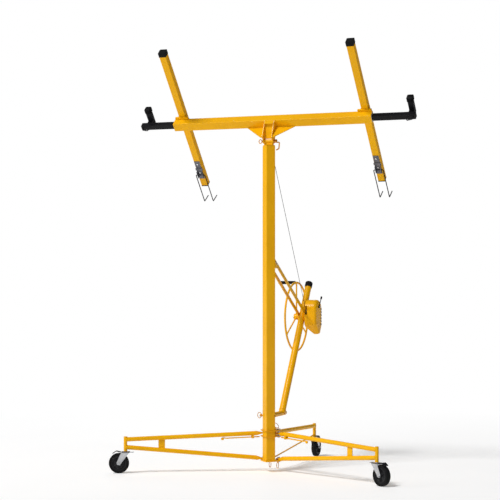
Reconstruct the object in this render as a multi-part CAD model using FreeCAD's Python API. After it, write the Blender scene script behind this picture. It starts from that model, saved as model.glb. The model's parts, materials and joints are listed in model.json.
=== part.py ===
import FreeCAD, Part
import math
import os

# Drywall lift: a three-stage telescoping mast on a folding tripod base with casters,
# raised by a hand-wheel winch and carrying a tilting cradle.
# Millimetres. +Z is up, +X runs along the cradle beam, +Y points to the winch side.
# Everything is built about the mast axis and moved to the frame's origin on export.

V = FreeCAD.Vector
MAST_X, MAST_Y = -11.15, -275.2        # the mast axis in the exported frame

# driving dimensions
OUTER_SIDE, MIDDLE_SIDE, INNER_SIDE, TUBE_WALL = 60.0, 50.0, 40.0, 3.0
MAST_FOOT_Z, MAST_TOP_Z, PIVOT_Z = 73.0, 2020.0, 2050.0
POST_TOP_Z = 400.0
POST_WALL_CLEAR = 30.05                # half the outer tube's side, with a hair of room
LEG_REACH, SIDE_LEG_ANGLE = 886.0, 115.0
HINGE_X, HINGE_Y, HINGE_R = 50.0, 40.0, 5.0
LEG_TUBE_R, LEG_WALL, LEG_POST_R, LEG_POST_BORE = 13.5, 2.0, 11.0, 6.5
TONGUE_REACH, TONGUE_HALF, TONGUE_END = 48.0, 4.0, 11.0
HUB_TOP_Z, HUB_LOW_Z, LEG_LOW_Z, HUB_LOBE_R = 238.0, 65.0, 79.5, 19.0
POST_LEG_TOP_Z, POST_LEG_LOW_Z, POST_FOOT_Z, POST_HEAD_Z = 208.0, 161.0, 136.0, 226.0
GUSSET_FROM_POST, GUSSET_WIDTH = 244.0, 41.0
LATCH_REACH, LATCH_Z, LATCH_LENGTH = 69.0, 212.4, 258.0
SLEEVE_SIDE, SLEEVE_START, SLEEVE_END = 44.0, 66.0, 150.0
PIN_R, LOWER_PIN_PLACES = 3.0, {"left": (-10.0, 52.0), "right": (52.0, 19.0)}
BASE_PIN_Z, BASE_PIN_R = 350.0, 5.0
WHEEL_R, WHEEL_WIDTH, CASTER_TRAIL = 62.5, 32.0, 40.0
RIM_R, PEDAL_HINGE_Y = 46.0, 30.0
TRAIL_DIRS = {"left": (-0.934, -0.358), "right": (0.858, -0.507), "rear": (0.0, 1.0)}
TILT_DEG = 48.0
BEAM_SIDE, BEAM_HALF, BEAM_RISE, BEAM_SET = 56.0, 654.0, 120.0, 65.0
ARM_SIDE, ARM_HALF, ARM_X = 44.0, 515.0, 605.0
OUTRIGGER_SIDE = 33.0
OUTRIGGER_POST_X = {"left": 834.0, "right": 895.0}
OUTRIGGER_TIP_X = {"left": 885.0, "right": 925.0}
BEAM_Y, BEAM_Z = -BEAM_SET, BEAM_RISE
BEAM_TOP, BEAM_LOW = BEAM_RISE + BEAM_SIDE / 2, BEAM_RISE - BEAM_SIDE / 2
SADDLE_PLATE = 4.0
HOOK_FROM_END, HOOK_BEYOND_END = 95.0, 125.0
ARM_Z = BEAM_TOP + SADDLE_PLATE + ARM_SIDE / 2
EAR_X, EAR_T, PIVOT_R = 28.0, 5.0, 6.0
STUB_Z, STUB_END_Y, STUB_R = 346.0, 285.0, 15.5
HANDLE_FOOT, HANDLE_HEAD, HANDLE_R = V(0, 237.4, 346), V(0, 776.4, 1173), 21.2
WINCH_Y, WINCH_Z = 663.0, 949.0
HAND_WHEEL_X, HAND_WHEEL_R, RING_ROD_R = -50.0, 226.0, 6.5
STRUT_X, STRUT_T, SHAFT_R = 22.0, 5.0, 5.5
DRUM_X0, DRUM_X1, DRUM_R, WINDING_R = 31.0, 65.0, 30.0, 36.0
COVER_X0, COVER_X1, COVER_WALL, COVER_CORNER = 30.0, 107.0, 2.5, 18.0
CABLE_R, PULLEY_R = 1.6, 20.0
PULLEY_Y, PULLEY_Z = 58.0, 1950.0
GAP = 0.4                              # air between parts that move on each other
RUN = 0.05                             # radial running clearance of pins and axles

NODES = {}


def rod(p, q, radius):
    axis = q - p
    return Part.makeCylinder(radius, axis.Length, p, axis)


def pipe(p, q, outer, inner):
    return rod(p, q, outer).cut(rod(p, q, inner))


def block(x0, x1, y0, y1, z0, z1):
    return Part.makeBox(x1 - x0, y1 - y0, z1 - z0, V(x0, y0, z0))


def square_tube(side, wall, x0, x1, across, up):
    """A square tube along X, centred on (across, up) in Y and Z."""
    h, c = side / 2, side / 2 - wall
    outer = block(x0, x1, across - h, across + h, up - h, up + h)
    return outer.cut(block(x0 - 1, x1 + 1, across - c, across + c, up - c, up + c))


def plate(points, thickness):
    """A flat plate: the outline's points, pushed along the thickness vector."""
    return Part.Face(Part.makePolygon(points + points[:1])).extrude(thickness)


def rounded(shape, radius, pick):
    edges = [e for e in shape.Edges if pick(e)]
    return shape.makeFillet(radius, edges) if edges else shape


def along(direction):
    """Picks straight edges that run along a direction."""
    def test(edge):
        if edge.Curve.TypeId != "Part::GeomLine":
            return False
        span = edge.Vertexes[-1].Point - edge.Vertexes[0].Point
        return abs(span.normalize().dot(direction)) > 0.999
    return test


def wire_form(points, radius, bend):
    """A bent rod: straight runs joined by tangent arcs of one bend radius, or less in short runs."""
    edges, start = [], points[0]
    for before, corner, after in zip(points, points[1:], points[2:]):
        u, w = (before - corner), (after - corner)
        room = 0.45 * min(u.Length, w.Length)
        u.normalize()
        w.normalize()
        half = math.acos(max(-1.0, min(1.0, u.dot(w)))) / 2
        reach = min(bend / math.tan(half), room)
        r = reach * math.tan(half)
        a, b = corner + u * reach, corner + w * reach
        mid_dir = (u + w).normalize()
        mid = corner + mid_dir * (r / math.sin(half) - r)
        edges += [Part.LineSegment(start, a).toShape(), Part.Arc(a, mid, b).toShape()]
        start = b
    edges.append(Part.LineSegment(start, points[-1]).toShape())
    path = Part.Wire(edges)
    section = Part.Wire(Part.makeCircle(radius, points[0], points[1] - points[0]))
    return path.makePipeShell([section], True, False)


def ring(radius, wire_r, centre, axis):
    return Part.makeTorus(radius, wire_r, centre, axis)


def turned(shape, degrees, axis=V(0, 0, 1), about=V(0, 0, 0)):
    copy = shape.copy()
    copy.rotate(about, axis, degrees)
    return copy


def moved(shape, offset):
    copy = shape.copy()
    copy.translate(offset)
    return copy


def node(name, *solids):
    shape = solids[0] if len(solids) == 1 else Part.makeCompound(list(solids))
    NODES[name] = shape


# ---------------------------------------------------------------- mast

def mast_tube(side, z0, z1):
    h, c = side / 2, side / 2 - TUBE_WALL
    outer = rounded(block(-h, h, -h, h, z0, z1), 3.0, along(V(0, 0, 1)))
    inner = rounded(block(-c, c, -c, c, z0 - 1, z1 + 1), 1.5, along(V(0, 0, 1)))
    return turned(outer.cut(inner), 45)


def slide_pads(side, wall_gap, z_top):
    """Four thin plastic pads on the inner faces of the tube outside, near its top."""
    face = side / 2 + GAP
    pad = block(-side * 0.3, side * 0.3, face, face + wall_gap, z_top - 60, z_top - 6)
    return [turned(pad, 45 + 90 * k) for k in range(4)]


def mast():
    outer = mast_tube(OUTER_SIDE, MAST_FOOT_Z, MAST_TOP_Z)
    base_pin_bore = rod(V(-60, 0, BASE_PIN_Z), V(60, 0, BASE_PIN_Z), BASE_PIN_R + RUN)
    slot = block(-6, 6, 30, 60, PULLEY_Z - 60, PULLEY_Z + 24)
    node("mast_outer_tube", outer.cut(base_pin_bore).cut(slot))
    node("mast_middle_tube", mast_tube(MIDDLE_SIDE, 430, MAST_TOP_Z - 4))
    node("mast_inner_tube", mast_tube(INNER_SIDE, 450, MAST_TOP_Z - 2))
    pad = 1.6
    node("outer_slide_pads", *slide_pads(MIDDLE_SIDE, pad, MAST_TOP_Z - 2))
    node("middle_slide_pads", *slide_pads(INNER_SIDE, pad, MAST_TOP_Z - 8))


def mast_pulley():
    centre = V(0, PULLEY_Y, PULLEY_Z)
    half = 4.0
    wheel = rod(V(-half, PULLEY_Y, PULLEY_Z), V(half, PULLEY_Y, PULLEY_Z), PULLEY_R)
    wheel = wheel.cut(ring(PULLEY_R, CABLE_R + 0.8, centre, V(1, 0, 0)))
    axle = rod(V(-11, PULLEY_Y, PULLEY_Z), V(11, PULLEY_Y, PULLEY_Z), 4.0)
    bore = rod(V(-12, PULLEY_Y, PULLEY_Z), V(12, PULLEY_Y, PULLEY_Z), 4.0 + RUN)
    node("mast_pulley", wheel.cut(bore))
    cheek = plate([V(0, 36, PULLEY_Z + 34), V(0, 56, PULLEY_Z + 26), V(0, 76, PULLEY_Z + 8),
                   V(0, 76, PULLEY_Z - 12), V(0, 58, PULLEY_Z - 24), V(0, 36, PULLEY_Z - 44)], V(3, 0, 0))
    mast_clear = mast_clearance(1800, MAST_TOP_Z + 10)
    cheeks = [moved(cheek, V(x, 0, 0)).cut(mast_clear).cut(axle) for x in (5.5, -8.5)]
    node("pulley_bracket", cheeks[0].fuse(axle).fuse(cheeks[1]))


# ---------------------------------------------------------------- base

def turned_square(side, z0, z1):
    """A square block about the mast axis, set on its corner like the mast."""
    return turned(block(-side / 2, side / 2, -side / 2, side / 2, z0, z1), 45)


def mast_clearance(z0, z1):
    return turned_square(2 * POST_WALL_CLEAR, z0, z1)


def post_place(side):
    """Where a leg's caster post stands."""
    if side == "rear":
        return V(0, LEG_REACH, 0)
    angle = SIDE_LEG_ANGLE if side == "left" else -SIDE_LEG_ANGLE
    return turned(Part.Vertex(0, LEG_REACH, 0), angle).Point


def hinge_place(side):
    return V(-HINGE_X if side == "left" else HINGE_X, HINGE_Y, 0)


def leg_placed(shape, side):
    """From a side leg built along +Y from its hinge at the origin, to its place on the base."""
    span = post_place(side) - hinge_place(side)
    return moved(turned(shape, math.degrees(math.atan2(-span.x, span.y))), hinge_place(side))


def upright(x, y, z0, z1, radius):
    return rod(V(x, y, z0), V(x, y, z1), radius)


def hub_sheet(z, thickness):
    """A hub plate round the mast with a lobe to each hinge and one to the rear."""
    lobes = []
    for tip in (hinge_place("left"), hinge_place("right"), V(0, SLEEVE_START, 0)):
        ahead = V(tip).normalize()
        side = V(-ahead.y, ahead.x, 0)
        outline = [side * 2 * HUB_LOBE_R, tip + side * HUB_LOBE_R, tip - side * HUB_LOBE_R,
                   side * -2 * HUB_LOBE_R]
        lobes.append(plate([p + V(0, 0, z) for p in outline], V(0, 0, thickness)))
        lobes.append(upright(tip.x, tip.y, z, z + thickness, HUB_LOBE_R))
    lobes.append(turned_square(OUTER_SIDE + 12, z, z + thickness))
    return lobes[0].multiFuse(lobes[1:]).removeSplitter()


def hinge_bores():
    left, right = [upright(x, HINGE_Y, 60, 280, HINGE_R + RUN) for x in (-HINGE_X, HINGE_X)]
    return left.fuse(right)


def sleeve_block(growth):
    """The outside of the rear leg's square sleeve, along the sloping tube."""
    h = SLEEVE_SIDE / 2 + growth
    y0, y1 = SLEEVE_START - growth, SLEEVE_END + growth
    z0, z1 = rear_tube_z(y0), rear_tube_z(y1)
    outline = [V(-h, y0, z0 - h), V(-h, y1, z1 - h), V(-h, y1, z1 + h), V(-h, y0, z0 + h)]
    return plate(outline, V(2 * h, 0, 0))


def rear_tube_z(y):
    """The height of the rear tube's centre line above a point on the floor."""
    return HUB_TOP_Z + (POST_LEG_TOP_Z - HUB_TOP_Z) * (y - SLEEVE_START) / (LEG_REACH - SLEEVE_START)


def hub():
    lower = hub_sheet(HUB_LOW_Z, 8).cut(hinge_bores())
    for x, y in LOWER_PIN_PLACES.values():
        lower = lower.cut(upright(x, y, 60, 110, PIN_R + RUN))
    cheeks = [hub_sheet(z, 4) for z in (HUB_TOP_Z - 20, HUB_TOP_Z + 16)]
    opening = mast_clearance(60, 300).fuse(sleeve_block(0.05))
    node("hub_upper_plates", *[cheek.cut(hinge_bores()).cut(opening) for cheek in cheeks])
    post_side = MIDDLE_SIDE + TUBE_WALL
    post = turned_square(post_side, HUB_LOW_Z + 8, POST_TOP_Z)
    hollow = turned_square(post_side - 8, HUB_LOW_Z + 7, POST_TOP_Z + 1)
    bore = rod(V(-60, 0, BASE_PIN_Z), V(60, 0, BASE_PIN_Z), BASE_PIN_R + RUN)
    node("hub_plate_and_post", lower.fuse(post.cut(hollow).cut(bore)))


def leg_post(reach):
    """The upright tube over a caster's stem, closed at the top."""
    post = pipe(V(0, reach, POST_FOOT_Z), V(0, reach, POST_HEAD_Z), LEG_POST_R, LEG_POST_BORE)
    return post.fuse(upright(0, reach, POST_HEAD_Z - 3, POST_HEAD_Z, LEG_POST_R - 0.5))


def leg_tube(z0, reach, z1):
    """One tube of a side leg: flattened to a tongue at the hinge, round from there to the post."""
    def height(y):
        return z0 + (z1 - z0) * y / reach

    r, t = LEG_TUBE_R, TONGUE_HALF
    tube = pipe(V(0, TONGUE_REACH, height(TONGUE_REACH)), V(0, reach, z1), r, r - LEG_WALL)
    side = [V(-r, -TONGUE_END, z0 - t), V(-r, TONGUE_END, z0 - t),
            V(-r, TONGUE_REACH, height(TONGUE_REACH) - r), V(-r, TONGUE_REACH, height(TONGUE_REACH) + r),
            V(-r, TONGUE_END, z0 + t), V(-r, -TONGUE_END, z0 + t)]
    tongue = plate(side, V(2 * r, 0, 0)).cut(upright(0, 0, 60, 300, HINGE_R + RUN))
    return tube.cut(upright(0, reach, 100, 260, LEG_POST_R)).fuse(tongue)


def side_leg(side):
    """Welded truss: two tubes meeting at the caster post, a gusset plate and hinge tongues."""
    reach = (post_place(side) - hinge_place(side)).Length
    top = leg_tube(HUB_TOP_Z, reach, POST_LEG_TOP_Z)
    low = leg_tube(LEG_LOW_Z, reach, POST_LEG_LOW_Z)
    r0 = reach - GUSSET_FROM_POST
    r1 = r0 + GUSSET_WIDTH
    gusset = plate([V(-2, r0, 140), V(-2, r1, 140), V(-2, r1, 220), V(-2, r0, 220)], V(4, 0, 0))
    for z0, z1 in ((HUB_TOP_Z, POST_LEG_TOP_Z), (LEG_LOW_Z, POST_LEG_LOW_Z)):
        gusset = gusset.cut(rod(V(0, 0, z0), V(0, reach, z1), LEG_TUBE_R - 0.2))
    gusset = max(gusset.Solids, key=lambda solid: solid.Volume)
    across = V(20, 0, 0)
    latch_pin = V(0, LATCH_REACH, LATCH_Z)
    latch_bore = rod(latch_pin - across, latch_pin + across, PIN_R + RUN)
    ears = [block(x, x + 3.4, LATCH_REACH - 8, LATCH_REACH + 8, 205, 225).cut(latch_bore)
            for x in (-10.0, 6.6)]
    frame = leg_post(reach).multiFuse([top, low, gusset] + ears).removeSplitter()
    node(side + "_leg_frame", leg_placed(frame, side))
    near, far, top_z = 26.0, LATCH_LENGTH - 6, LATCH_Z + 4.6
    bar = plate([V(-6, near, top_z), V(-6, far - 18, top_z - 7.5), V(-6, far, top_z - 5),
                 V(-6, far, top_z - 11), V(-6, far - 18, top_z - 13.5), V(-6, near, top_z - 6)], V(12, 0, 0))
    knob = Part.makeSphere(9, V(0, LATCH_LENGTH, top_z - 14))
    pin = rod(latch_pin - across * 0.6, latch_pin + across * 0.6, PIN_R)
    node(side + "_latch_bar", leg_placed(bar.fuse(knob).fuse(pin), side))


def rear_leg():
    """One tube in a square sleeve behind the mast, with a thin brace rod under it."""
    tube = pipe(V(0, SLEEVE_START - 14, HUB_TOP_Z), V(0, LEG_REACH, POST_LEG_TOP_Z), LEG_TUBE_R,
                LEG_TUBE_R - LEG_WALL)
    brace = rod(V(0, 60, HUB_LOW_Z + 13), V(0, LEG_REACH, POST_FOOT_Z + 14), 4.5)
    foot = block(-9, 9, 46, 74, HUB_LOW_Z + 8, HUB_LOW_Z + 18)
    post_clear = upright(0, LEG_REACH, 100, 260, LEG_POST_R)
    core = rod(V(0, 40, HUB_TOP_Z), V(0, LEG_REACH, POST_LEG_TOP_Z), LEG_TUBE_R - 0.2)
    sleeve = sleeve_block(0).cut(core)
    frame = leg_post(LEG_REACH).multiFuse([tube.cut(post_clear), brace.cut(post_clear), foot, sleeve])
    pin_y = (SLEEVE_START + SLEEVE_END) / 2
    node("rear_leg_frame", frame.removeSplitter().cut(upright(0, pin_y, HUB_TOP_Z, 300, PIN_R + RUN)))
    bar_z, handle_r, wire_r = rear_tube_z(pin_y) + SLEEVE_SIDE / 2 + 7, 29.0, 1.9
    pin = upright(0, pin_y, HUB_TOP_Z + 3, bar_z, PIN_R)
    collar = upright(0, pin_y, bar_z - 6, bar_z + 4, 6.5)
    centre = V(0, pin_y, bar_z)
    bail = ring(handle_r, wire_r, centre, V(0.25, 1, 0))
    bail = bail.common(block(-60, 60, pin_y - 60, pin_y + 60, bar_z, bar_z + 60))
    reach = V(handle_r, -0.25 * handle_r, 0) * (1 / math.hypot(1, 0.25))
    crossbar = rod(centre - reach, centre + reach, wire_r)
    node("rear_ring_pin", pin.multiFuse([collar, bail, crossbar]))


def ring_pins():
    top = HUB_LOW_Z - 6
    for side, (x, y) in LOWER_PIN_PLACES.items():
        pin = upright(x, y, top, HUB_LOW_Z + 7.6, PIN_R)
        head = upright(x, y, HUB_LOW_Z - 8, HUB_LOW_Z - 0.4, 5.0)
        loop = wire_form([V(x - 4, y, top), V(x - 7, y - 4, top - 18), V(x - 2, y - 6, top - 36),
                          V(x + 5, y - 5, top - 34), V(x + 6, y - 2, top - 16), V(x + 3, y, top)], 1.9, 6)
        node(side + "_hub_ring_pin", pin.fuse(head).fuse(loop))
    shaft = rod(V(-52, 0, BASE_PIN_Z), V(30, 0, BASE_PIN_Z), BASE_PIN_R)
    knob = rod(V(-58, 0, BASE_PIN_Z), V(-46, 0, BASE_PIN_Z), 8.0)
    loop = ring(17, 2.1, V(-62, 0, BASE_PIN_Z), V(0.5, 1, 0))
    node("mast_base_pin", shaft.fuse(knob).fuse(loop))


def hex_head(centre, axis, radius, height):
    """A six-sided bolt head or nut that starts at a point and grows along an axis."""
    turn = FreeCAD.Rotation(V(0, 0, 1), axis)
    corners = [math.radians(60 * k) for k in range(6)]
    outline = [centre + turn.multVec(V(radius * math.cos(a), radius * math.sin(a), 0)) for a in corners]
    return plate(outline, V(axis).normalize() * height)


def base_bolts():
    """The four hinge bolts of the side legs."""
    bolts, up = [], V(0, 0, 1)
    for side in ("left", "right"):
        d = hinge_place(side)
        for low, high in ((HUB_LOW_Z, LEG_LOW_Z + TONGUE_HALF + 1), (HUB_TOP_Z - 20, HUB_TOP_Z + 20)):
            shank = upright(d.x, d.y, low, high, HINGE_R)
            heads = [hex_head(d + up * low, -up, 9.0, 6), hex_head(d + up * high, up, 9.0, 6)]
            bolts.append(shank.multiFuse(heads))
    return bolts


# ---------------------------------------------------------------- casters

def caster(name, post, trail):
    """A swivel caster built trailing along +Y from its stem, then turned to its trail direction."""
    axle_y, axle_z = CASTER_TRAIL, WHEEL_R
    inner, wall = WHEEL_WIDTH / 2 + 4, 3.0
    crown_z = POST_FOOT_Z - 6
    stem = rod(V(0, 0, crown_z - 1), V(0, 0, POST_FOOT_Z + 44), 6.5 - RUN)
    race = rod(V(0, 0, crown_z), V(0, 0, POST_FOOT_Z - 0.6), 18.0)
    crown = block(-inner - wall, inner + wall, -24, 26, crown_z - 3, crown_z)
    crown = rounded(crown, 8, along(V(0, 0, 1)))
    cheeks = []
    for x in (-inner - wall, inner):
        outline = [V(x, -24, crown_z - 2), V(x, 26, crown_z - 2), V(x, axle_y + 13, axle_z + 4),
                   V(x, axle_y + 9, axle_z - 9), V(x, axle_y - 7, axle_z - 11), V(x, axle_y - 15, axle_z)]
        cheeks.append(plate(outline, V(wall, 0, 0)))
    bore = rod(V(-40, axle_y, axle_z), V(40, axle_y, axle_z), 4.0)
    fork = crown.multiFuse([stem, race] + cheeks).removeSplitter().cut(bore)
    bolt = rod(V(-inner - wall - 1, axle_y, axle_z), V(inner + wall + 1, axle_y, axle_z), 4.0)
    ends = [rod(V(x, axle_y, axle_z), V(x + 5, axle_y, axle_z), 7.0)
            for x in (-inner - wall - 5, inner + wall)]
    axle = bolt.fuse(ends[0]).fuse(ends[1])
    half = WHEEL_WIDTH / 2
    core = rod(V(-half + 3, axle_y, axle_z), V(half - 3, axle_y, axle_z), RIM_R)
    hub_barrel = rod(V(-half - 3, axle_y, axle_z), V(half + 3, axle_y, axle_z), 13.0)
    dish = [rod(V(s * 8, axle_y, axle_z), V(s * (half + 1), axle_y, axle_z), 38.0)
            .cut(rod(V(s * 7, axle_y, axle_z), V(s * (half + 2), axle_y, axle_z), 13.0)) for s in (1, -1)]
    axle_bore = rod(V(-40, axle_y, axle_z), V(40, axle_y, axle_z), 4.0 + RUN)
    wheel = core.cut(dish[0]).cut(dish[1]).fuse(hub_barrel).cut(axle_bore)
    tyre = rod(V(-half, axle_y, axle_z), V(half, axle_y, axle_z), WHEEL_R)
    tyre = tyre.makeFillet(6.0, [e for e in tyre.Edges if e.Curve.TypeId == "Part::GeomCircle"])
    tyre = tyre.cut(rod(V(-40, axle_y, axle_z), V(40, axle_y, axle_z), RIM_R))
    pedal = plate([V(-16, PEDAL_HINGE_Y, crown_z - 1), V(-16, 56, crown_z + 5), V(-16, 78, crown_z - 10),
                   V(-16, 80, crown_z - 6), V(-16, 57, crown_z + 9), V(-16, PEDAL_HINGE_Y, crown_z + 3)],
                  V(32, 0, 0))
    barrel = rod(V(-16, PEDAL_HINGE_Y, crown_z + 1), V(16, PEDAL_HINGE_Y, crown_z + 1), 2.7)
    pedal = pedal.fuse(barrel)
    tab = plate([V(-12, -50, crown_z + 2), V(-12, -22, crown_z - 0.5), V(-12, -22, crown_z - 3),
                 V(-12, -50, crown_z - 2)], V(24, 0, 0))
    turn = math.degrees(math.atan2(-trail[0], trail[1]))
    parts = {"fork": [fork.fuse(tab), axle], "wheel": [wheel], "tyre": [tyre], "pedal": [pedal]}
    for piece, shapes in parts.items():
        node(name + "_caster_" + piece, *[moved(turned(shape, turn), post) for shape in shapes])


def casters():
    for place, trail in TRAIL_DIRS.items():
        caster(place, post_place(place), trail)


# ---------------------------------------------------------------- winch

def winch_frame():
    """A stub behind the mast and the long sloping tube that carries the winch."""
    stub = pipe(V(0, 20, STUB_Z), V(0, STUB_END_Y, STUB_Z), STUB_R, STUB_R - 2.5)
    handle = pipe(HANDLE_FOOT, HANDLE_HEAD, HANDLE_R, HANDLE_R - 2.5)
    handle = handle.cut(rod(V(0, 20, STUB_Z), V(0, STUB_END_Y, STUB_Z), STUB_R))
    handle = max(handle.Solids, key=lambda solid: solid.Volume)
    node("winch_handle_frame", stub.cut(mast_clearance(60, 1990)).fuse(handle))
    slope = (HANDLE_HEAD - HANDLE_FOOT).normalize()
    top_cap = rod(HANDLE_HEAD - slope * 38, HANDLE_HEAD + slope * 5, HANDLE_R + 3.5)
    top_cap = top_cap.cut(rod(HANDLE_HEAD - slope * 40, HANDLE_HEAD, HANDLE_R))
    end_cap = rod(V(0, STUB_END_Y, STUB_Z), V(0, STUB_END_Y + 11, STUB_Z), STUB_R + 0.5)
    end_cap = end_cap.makeFillet(7, [e for e in end_cap.Edges if e.BoundBox.YMin > STUB_END_Y + 10])
    node("tube_end_caps", top_cap, end_cap)


def winch_struts():
    """Two flat bars from the mast to the winch shaft, with the gussets that join them to the mast."""
    top, foot, half = V(0, 22, 1316), V(0, WINCH_Y, WINCH_Z), 12.5
    run = (foot - top).normalize()
    side = V(0, -run.z, run.y) * half
    mast_clear = mast_clearance(60, 1990)
    shaft_bore = rod(V(-60, WINCH_Y, WINCH_Z), V(60, WINCH_Y, WINCH_Z), SHAFT_R + RUN)
    bolt_places = [top + (foot - top) * share for share in (0.045, 0.075)]
    bolt_bores = [rod(V(-60, p.y, p.z), V(60, p.y, p.z), PIN_R) for p in bolt_places]
    struts = []
    for x in (-STRUT_X - STRUT_T, STRUT_X):
        corners = [top + side, foot + side, foot - side, top - side]
        bar = plate([corner + V(x, 0, 0) for corner in corners], V(STRUT_T, 0, 0))
        lobe = rod(V(x, WINCH_Y, WINCH_Z), V(x + STRUT_T, WINCH_Y, WINCH_Z), 20)
        gusset = plate([V(x, 12, 1345), V(x, 60, 1298), V(x, 84, 1268), V(x, 60, 1262), V(x, 12, 1290)],
                       V(STRUT_T, 0, 0))
        strut = bar.multiFuse([lobe, gusset]).cut(shaft_bore).cut(mast_clear)
        struts.append(strut.cut(bolt_bores[0]).cut(bolt_bores[1]))
    node("winch_struts", *struts)
    bolts, outside = [], STRUT_X + STRUT_T
    for p in bolt_places:
        shank = rod(V(-outside, p.y, p.z), V(outside, p.y, p.z), PIN_R)
        heads = [rod(V(x, p.y, p.z), V(x + 4, p.y, p.z), 6.5) for x in (-outside - 4, outside)]
        bolts.append(shank.multiFuse(heads).cut(mast_clear))
    return bolts


def hand_wheel():
    centre = V(HAND_WHEEL_X, WINCH_Y, WINCH_Z)
    rim = ring(HAND_WHEEL_R, RING_ROD_R, centre, V(1, 0, 0))
    hub = rod(V(HAND_WHEEL_X - 14, WINCH_Y, WINCH_Z), V(-STRUT_X - STRUT_T - 1.5, WINCH_Y, WINCH_Z), 20)
    spokes = []
    for angle in (90, 210, 330):
        a = math.radians(angle)
        tip = centre + V(0, math.cos(a), math.sin(a)) * (HAND_WHEEL_R - 2)
        spokes.append(rod(centre, tip, 5.0))
    wheel = rim.multiFuse([hub] + spokes)
    wheel = wheel.cut(rod(V(-90, WINCH_Y, WINCH_Z), V(0, WINCH_Y, WINCH_Z), SHAFT_R))
    grip_z = WINCH_Z + HAND_WHEEL_R
    grip_near, grip_far = V(-58, WINCH_Y, grip_z), V(-171, WINCH_Y, grip_z)
    spindle = rod(V(HAND_WHEEL_X, WINCH_Y, grip_z), grip_far - V(1, 0, 0), 5.0)
    spindle = spindle.fuse(rod(grip_far - V(5, 0, 0), grip_far - V(0.6, 0, 0), 8.0))
    node("hand_wheel", wheel.fuse(spindle))
    grip = rod(grip_near, grip_far, 11.5)
    grip = grip.makeFillet(3.5, [e for e in grip.Edges if e.Curve.TypeId == "Part::GeomCircle"])
    node("wheel_grip", grip.cut(rod(V(0, WINCH_Y, grip_z), V(-200, WINCH_Y, grip_z), 5.0 + RUN)))


def on_winch_axis(x):
    return V(x, WINCH_Y, WINCH_Z)


def drum():
    shaft = rod(on_winch_axis(HAND_WHEEL_X - 18), on_winch_axis(COVER_X1 - 4), SHAFT_R)
    nut = rod(on_winch_axis(HAND_WHEEL_X - 22), on_winch_axis(HAND_WHEEL_X - 14), 9).cut(shaft)
    node("winch_shaft", shaft, nut)
    body = rod(on_winch_axis(DRUM_X0), on_winch_axis(DRUM_X1), DRUM_R)
    flanges = [rod(on_winch_axis(x), on_winch_axis(x + 3), 58) for x in (DRUM_X0, DRUM_X1 - 3)]
    node("winch_drum", body.multiFuse(flanges).cut(shaft))
    node("cable_winding", pipe(on_winch_axis(DRUM_X0 + 3), on_winch_axis(DRUM_X1 - 3), WINDING_R, DRUM_R))


def cover_outline(x, inset):
    """The cover's side view: a rounded back over the drum and a slanted chin below."""
    y, z = WINCH_Y, WINCH_Z
    top_r, chin = 66 - inset, 114 - inset
    left = V(x, y - top_r, z + 46)
    right = V(x, y + top_r, z + 46)
    crown = V(x, y, z + 46 + top_r)
    arc = Part.Arc(left, crown, right).toShape()
    points = [right, V(x, y + top_r, z - 60), V(x, y + 34 - inset / 2, z - chin),
              V(x, y + 4, z - chin), V(x, y - top_r, z - 52 + inset / 2), left]
    edges = [arc] + [Part.LineSegment(a, b).toShape() for a, b in zip(points, points[1:])]
    return Part.Face(Part.Wire(edges))


def cover_chamfer(lift):
    """What the cover's slanted lower edge, on the side of the sloping tube, takes away."""
    y = WINCH_Y - 100
    outline = [V(COVER_X0 - 8, y, WINCH_Z - 57 + lift), V(COVER_X0 + 52, y, WINCH_Z - 125 + lift),
               V(COVER_X0 - 8, y, WINCH_Z - 125 + lift)]
    return plate(outline, V(0, 200, 0))


def cover_body(x0, x1, inset, corner):
    """The cover's solid, with its outer edges rounded and its lower edge slanted."""
    body = cover_outline(x0, inset).extrude(V(x1 - x0, 0, 0))
    body = body.makeFillet(corner, [e for e in body.Edges if e.BoundBox.XMin > x1 - 1])
    return body.cut(cover_chamfer(inset * 1.5))


def winch_cover():
    outer = cover_body(COVER_X0, COVER_X1, 0, COVER_CORNER)
    inner = cover_body(COVER_X0 - 1, COVER_X1 - COVER_WALL, COVER_WALL, COVER_CORNER - COVER_WALL)
    rope_slot = block(DRUM_X0 + 2, DRUM_X0 + 14, WINCH_Y - 90, WINCH_Y - 40, WINCH_Z + 16, WINCH_Z + 72)
    bracket = block(STRUT_X + STRUT_T + 0.1, COVER_X0, WINCH_Y - 64, WINCH_Y + 64, WINCH_Z - 50, WINCH_Z + 44)
    bracket = bracket.cut(rod(on_winch_axis(0), on_winch_axis(60), SHAFT_R + RUN))
    node("winch_cover", outer.cut(inner).cut(rope_slot).fuse(bracket))
    screws, screw_y = [], WINCH_Y + 40
    for k in range(6):
        z = WINCH_Z - 50 + 20 * k
        screws.append(rod(V(COVER_X1, screw_y, z), V(COVER_X1 + 4, screw_y, z), 5))
    pivot = V(COVER_X1, WINCH_Y - 8, WINCH_Z + 66)
    boss = rod(pivot, pivot + V(9, 0, 0), 4.0 - RUN)
    node("cover_screws", *screws, boss)
    knob = pivot + V(5.5, 34, 52)
    lever = rod(pivot + V(0.5, 0, 0), pivot + V(7, 0, 0), 9).cut(rod(pivot, pivot + V(12, 0, 0), 4.0))
    arm = rod(pivot + V(4, 3, 5), knob, 2.6).cut(rod(pivot, pivot + V(12, 0, 0), 8.5))
    node("brake_lever", lever.fuse(arm).fuse(rod(knob, knob + V(0, 10, 14), 5.5)))


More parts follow.
